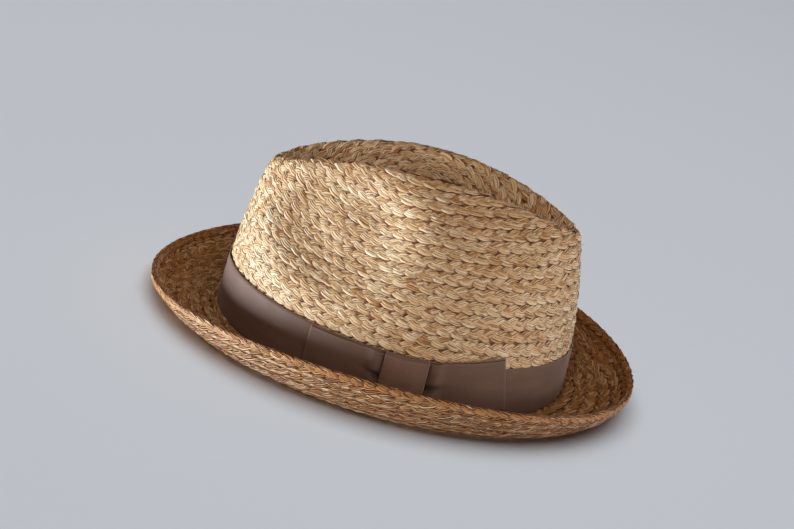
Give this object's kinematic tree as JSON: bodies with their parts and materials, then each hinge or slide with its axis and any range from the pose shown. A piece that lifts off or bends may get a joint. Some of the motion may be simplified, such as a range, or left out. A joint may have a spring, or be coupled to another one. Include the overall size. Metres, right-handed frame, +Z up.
{
  "type": "straw fedora",
  "caption": "Plaited straw fedora with a teardrop dent and side pinches in its crown, a curled brim, and a ribbon hatband with a flat bow.",
  "frame": {"origin": "on the surface the hat rests on, under the middle of the brim", "axes": "+Z up, the front of the hat points to -Y, and the bow sits on the +X side"},
  "size_m": [0.238, 0.2946, 0.1155],
  "materials": {
    "straw": "plaited raffia straw, semi-matt",
    "ribbon": "fine ribbed ribbon with a soft sheen"
  },
  "bodies": {
    "root": {"crown": "straw", "brim": "straw", "hatband": "ribbon", "bow_front_loop": "ribbon", "bow_rear_loop": "ribbon", "bow_knot": "ribbon"}
  },
  "joints": []
}
